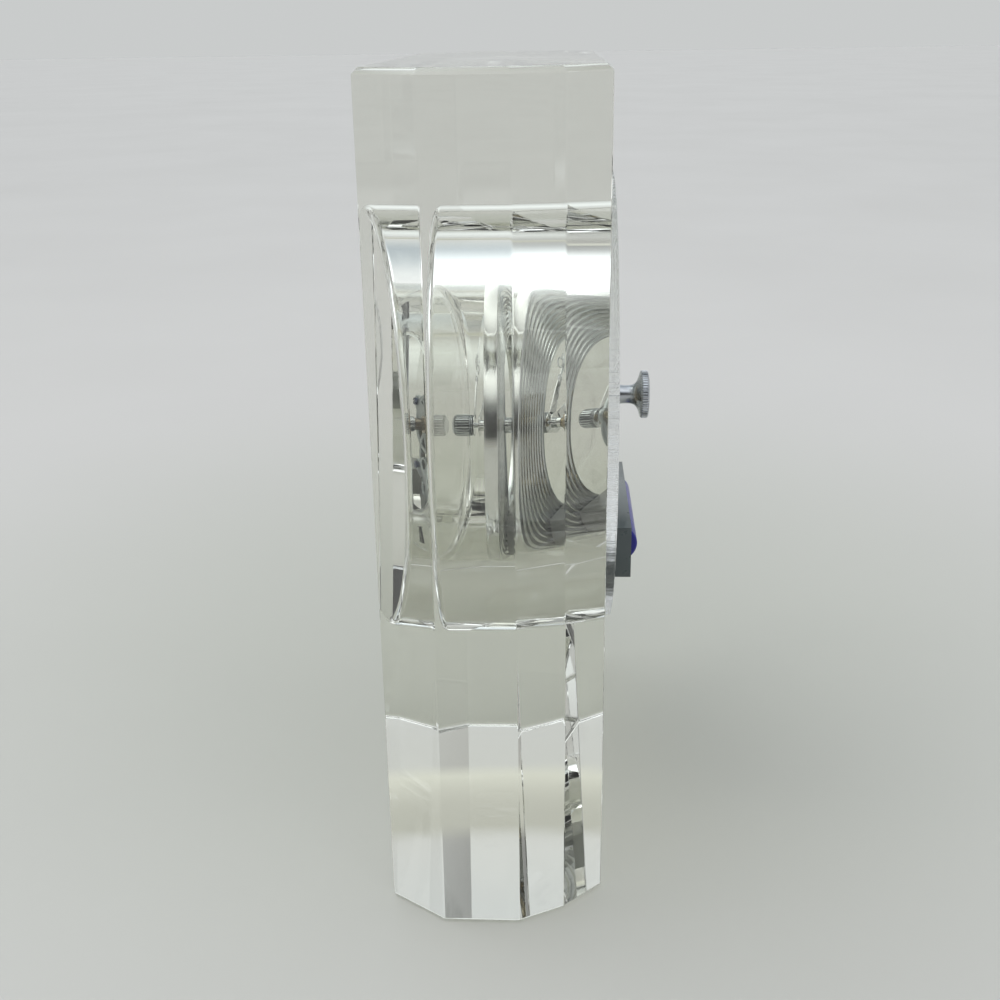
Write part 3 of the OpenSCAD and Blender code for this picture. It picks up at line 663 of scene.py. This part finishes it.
def setting_knob():
    bm = bmesh.new()
    y = HD + 3.0
    prof = [(0.3, y + 9.0), (1.02, y + 9.0), (1.02, y + 0.3), (3.3, y + 0.3), (3.47, y + 0.42), (3.5, y + 0.6), (3.42, y + 1.1), (3.3, y + 1.6), (3.08, y + 2.4), (2.9, y + 3.2), (2.79, y + 4.1),
            (2.75, y + 5.0), (2.77, y + 5.8), (2.85, y + 6.6), (3.05, y + 7.2), (3.4, y + 7.7), (3.9, y + 8.13), (4.6, y + 8.5), (5.4, y + 8.79),
            (6.2, y + 9.0), (6.7, y + 9.18), (6.98, y + 9.4), (7.12, y + 9.62), (7.15, y + 9.85), (7.15, y + 11.0), (7.08, y + 11.25), (6.8, y + 11.5),
            (6.2, y + 11.69), (5.4, y + 11.8), (2.4, y + 11.93), (0.4, y + 12.0)]
    revolve(bm, prof, 54 * 10, cap=(True, True), depth=fluted(54, 0.28, y + 9.3, y + 11.3, 6.9))
    part("knob_fluted", bm, "satin_silver", "setting_knob", "minute_arbor", 26)


setting_knob()


def eased(node, width, segments=2, angle=28.0):
    """A copy of a CAD piece with flat faces joined and every sharp edge eased, so that it catches light."""
    src = N[node]
    bm = bmesh.new()
    bm.from_mesh(src.data)
    bm.transform(src.matrix_world)
    before = abs(bm.calc_volume(signed=True))
    bmesh.ops.remove_doubles(bm, verts=bm.verts[:], dist=2e-6)
    bmesh.ops.dissolve_limit(bm, angle_limit=math.radians(0.6), verts=bm.verts[:], edges=bm.edges[:], delimit={"NORMAL"})
    bad = [e for e in bm.edges if len(e.link_faces) != 2]
    if bad:
        bm.free()
        print("eased: kept the CAD mesh of", node, len(bad))
        return None
    bmesh.ops.recalc_face_normals(bm, faces=bm.faces[:])
    sharp = [e for e in bm.edges if e.calc_face_angle(0.0) > math.radians(angle)]
    bmesh.ops.bevel(bm, geom=sharp, offset=width * MM, offset_type="OFFSET", segments=segments, profile=0.5, affect="EDGES", clamp_overlap=True)
    bmesh.ops.remove_doubles(bm, verts=bm.verts[:], dist=1e-7)
    bad = [e for e in bm.edges if len(e.link_faces) != 2]
    after = abs(bm.calc_volume(signed=True))
    if bad or not 0.9 * before < after < 1.002 * before:
        bm.free()
        print("eased: kept the CAD mesh of", node, len(bad), before, after)
        return None
    slot = node_slot[node]
    ob = new_object(node + "_eased", bm, mats[slot])
    shade(ob, 34)
    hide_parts(node)
    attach(ob, body_of[node])
    return ob


body_of = {n: b for b, ns in frame["record"]["behaviour"]["bodies"].items() for n in ns}
for node, width in (("battery_holder", 0.22), ("carrier", 0.2), ("front_plate", 0.12), ("middle_plate", 0.1), ("back_plate", 0.12),
                    ("battery_cell", 0.15), ("dial_bridge", 0.12), ("bridge_screws", 0.12), ("ring_screws", 0.12), ("pillar_screws", 0.1),
                    ("movement_screws", 0.1), ("holder_screws", 0.1), ("bush_washer", 0.08), ("bush_nut", 0.12), ("hand_washer", 0.06),
                    ("dial_numerals", 0.05), ("plate_pillars", 0.08), ("battery_contact", 0.04), ("circuit_board", 0.06), ("stator", 0.08)):
    eased(node, width)

# ---------------------------------------------------------------------------
# floor, backdrop and light
# ---------------------------------------------------------------------------


def ground():
    """A plain pale floor, with a soft shadow painted darker and warmer around the clock's foot."""
    bm = bmesh.new()
    n, size = 24, 24.0
    rows = [[bm.verts.new(((i / n - 0.5) * size, (j / n - 0.5) * size, -0.0002)) for i in range(n + 1)] for j in range(n + 1)]
    for j in range(n):
        for i in range(n):
            bm.faces.new((rows[j][i], rows[j][i + 1], rows[j + 1][i + 1], rows[j + 1][i]))
    n = Nodes("floor_pale")
    pale = n.ramp(n.noise(3.0, 4.0), (0.608, 0.591, 0.566), (0.632, 0.615, 0.590))
    # painted shadow: the floor is darker and warmer within about 0.06 to 0.42 m of a point just behind the block,
    # fading out to the pale tone
    spot = n.node("ShaderNodeSeparateXYZ")
    n.link(n.co, spot.inputs[0])
    away_x = n.math("ADD", spot.outputs[0], 0.09)
    span = n.math("SQRT", n.math("ADD", n.math("MULTIPLY", away_x, away_x), n.math("MULTIPLY", spot.outputs[1], spot.outputs[1])))
    fade = n.node("ShaderNodeMapRange", interpolation_type="SMOOTHSTEP")
    for k, v in (("From Min", 0.06), ("From Max", 0.42), ("To Min", 0.0), ("To Max", 1.0)):
        fade.inputs[k].default_value = v
    n.link(span, fade.inputs["Value"])
    painted_shadow = n.node("ShaderNodeMix", data_type="RGBA")
    n.link(fade.outputs[0], painted_shadow.inputs[0])
    painted_shadow.inputs[6].default_value = (0.520, 0.520, 0.470, 1)
    n.link(pale, painted_shadow.inputs[7])
    n.into(Base_Color=painted_shadow.outputs[2])
    n.into(Roughness=n.range(n.noise(8.0, 3.0), 0.62, 0.74))
    n.set(Specular_IOR_Level=0.2)
    ob = new_object("floor", bm, n.mat)
    return ob


ground()


def area(name, loc, target, size, power, colour=(1, 1, 1), size_y=None):
    d = bpy.data.lights.new(name, "AREA")
    d.shape = "RECTANGLE"
    d.size = size
    d.size_y = size_y or size
    d.energy = power
    d.color = colour
    o = bpy.data.objects.new(name, d)
    o.location = loc
    o.rotation_euler = (Vector(target) - Vector(loc)).to_track_quat("-Z", "Y").to_euler()
    o.visible_transmission = False
    scene.collection.objects.link(o)
    return o


area("key_softbox", (0.30, -0.95, 1.15), (0, 0, 0.12), 0.34, 1.9, (1.0, 0.99, 0.97))
area("fill_softbox", (0.10, 1.10, 0.95), (0, 0, 0.12), 0.30, 0.8, (0.97, 0.985, 1.0))

# the studio: a bright plain wall beyond the clock, a dim room behind the camera, and one wide soft ceiling light
world = bpy.data.worlds.new("studio")
scene.world = world
world.use_nodes = True
wt = world.node_tree
wt.nodes.clear()


def wnode(kind, **values):
    n = wt.nodes.new(kind)
    for k, v in values.items():
        setattr(n, k, v)
    return n


def wramp(fac, stops):
    n = wnode("ShaderNodeValToRGB")
    while len(n.color_ramp.elements) < len(stops):
        n.color_ramp.elements.new(0.5)
    for e, (el, col) in zip(n.color_ramp.elements, stops):
        e.position = 0.5 + 0.5 * math.sin(math.radians(el))
        e.color = tuple(col) + (1,)
    wt.links.new(fac, n.inputs["Fac"])
    return n.outputs[0]


wo = wnode("ShaderNodeOutputWorld")
bg = wnode("ShaderNodeBackground")
tc = wnode("ShaderNodeTexCoord")
sep = wnode("ShaderNodeSeparateXYZ")
wt.links.new(tc.outputs["Generated"], sep.inputs[0])
up = wnode("ShaderNodeMapRange")
up.inputs["From Min"].default_value = -1
up.inputs["From Max"].default_value = 1
wt.links.new(sep.outputs[2], up.inputs["Value"])
wall = wramp(up.outputs[0], [
    (-90, (0.57, 0.58, 0.578)), (3, (0.587, 0.602, 0.600)), (9, (0.78, 0.82, 0.84)), (21, (1.08, 1.15, 1.19)),
    (29, (0.84, 0.88, 0.90)), (31, (0.69, 0.71, 0.72)), (32.7, (0.69, 0.71, 0.71)), (33.0, (0.82, 0.84, 0.77)), (33.9, (0.64, 0.65, 0.60)),
    (34.5, (0.575, 0.585, 0.54)), (35.6, (0.56, 0.57, 0.525)), (35.9, (0.76, 0.78, 0.79)),
    (42, (0.70, 0.75, 0.79)), (52, (0.53, 0.60, 0.67)), (70, (0.62, 0.69, 0.75)), (90, (0.82, 0.87, 0.92))])
room = wramp(up.outputs[0], [
    (-90, (0.50, 0.50, 0.49)), (0, (0.50, 0.50, 0.49)), (3.5, (0.36, 0.36, 0.355)), (8, (0.045, 0.045, 0.045)),
    (25, (0.05, 0.05, 0.052)), (34, (0.32, 0.33, 0.34)), (45, (1.05, 1.08, 1.12)), (60, (1.55, 1.60, 1.66)), (90, (1.05, 1.08, 1.12))])
sides = wramp(up.outputs[0], [
    (-90, (0.57, 0.58, 0.578)), (2, (0.587, 0.602, 0.600)), (12, (0.61, 0.63, 0.635)), (22, (0.60, 0.61, 0.615)), (28.5, (0.42, 0.42, 0.41)),
    (32.7, (0.42, 0.42, 0.41)), (33.0, (0.80, 0.82, 0.75)), (33.9, (0.62, 0.63, 0.58)), (35.6, (0.55, 0.56, 0.515)), (35.9, (0.20, 0.20, 0.20)),
    (41, (0.13, 0.13, 0.13)), (49, (0.52, 0.54, 0.56)), (62, (0.90, 0.93, 0.97)), (90, (0.90, 0.93, 0.96))])
side = wnode("ShaderNodeMapRange", interpolation_type="SMOOTHSTEP")
side.inputs["From Min"].default_value = -0.45
side.inputs["From Max"].default_value = 0.30
wt.links.new(sep.outputs[0], side.inputs["Value"])
away = wnode("ShaderNodeMath", operation="ABSOLUTE")
wt.links.new(sep.outputs[1], away.inputs[0])
flank = wnode("ShaderNodeMapRange", interpolation_type="SMOOTHSTEP")
flank.inputs["From Min"].default_value = 0.20
flank.inputs["From Max"].default_value = 0.55
flank.inputs["To Max"].default_value = 0.85
wt.links.new(away.outputs[0], flank.inputs["Value"])
edge = wnode("ShaderNodeMix", data_type="RGBA")
wt.links.new(flank.outputs[0], edge.inputs[0])
wt.links.new(wall, edge.inputs[6])
wt.links.new(sides, edge.inputs[7])
ahead = wnode("ShaderNodeMapRange", interpolation_type="SMOOTHSTEP")
ahead.inputs["From Min"].default_value = 0.40
ahead.inputs["From Max"].default_value = 0.80
ahead.inputs["To Min"].default_value = 1.0
ahead.inputs["To Max"].default_value = 0.0
wt.links.new(away.outputs[0], ahead.inputs["Value"])
behind = wnode("ShaderNodeMath", operation="MULTIPLY")
wt.links.new(side.outputs[0], behind.inputs[0])
wt.links.new(ahead.outputs[0], behind.inputs[1])
both = wnode("ShaderNodeMix", data_type="RGBA")
wt.links.new(behind.outputs[0], both.inputs[0])
wt.links.new(edge.outputs[2], both.inputs[6])
wt.links.new(room, both.inputs[7])
dot = wnode("ShaderNodeVectorMath", operation="DOT_PRODUCT")
wt.links.new(tc.outputs["Generated"], dot.inputs[0])
el, az = math.radians(62), math.radians(-112)
dot.inputs[1].default_value = (math.cos(el) * math.cos(az), math.cos(el) * math.sin(az), math.sin(el))
clip = wnode("ShaderNodeMath", operation="MAXIMUM")
wt.links.new(dot.outputs["Value"], clip.inputs[0])
clip.inputs[1].default_value = 0.0
spread = wnode("ShaderNodeMath", operation="POWER")
wt.links.new(clip.outputs[0], spread.inputs[0])
spread.inputs[1].default_value = 16.0
lamp = wnode("ShaderNodeMix", data_type="RGBA", blend_type="ADD")
lamp.clamp_result = False
lamp.clamp_factor = False
wt.links.new(spread.outputs[0], lamp.inputs[0])
wt.links.new(both.outputs[2], lamp.inputs[6])
lamp.inputs[7].default_value = (1.86, 1.98, 2.10, 1)
wt.links.new(lamp.outputs[2], bg.inputs["Color"])
bg.inputs["Strength"].default_value = 1.0
wt.links.new(bg.outputs[0], wo.inputs[0])

scene.view_settings.view_transform = "Standard"
scene.view_settings.look = "None"
scene.view_settings.exposure = 0.0
scene.cycles.max_bounces = 32
scene.cycles.transmission_bounces = 28
scene.cycles.glossy_bounces = 12
scene.cycles.diffuse_bounces = 6
scene.cycles.transparent_max_bounces = 32
scene.cycles.caustics_refractive = True
scene.cycles.caustics_reflective = True
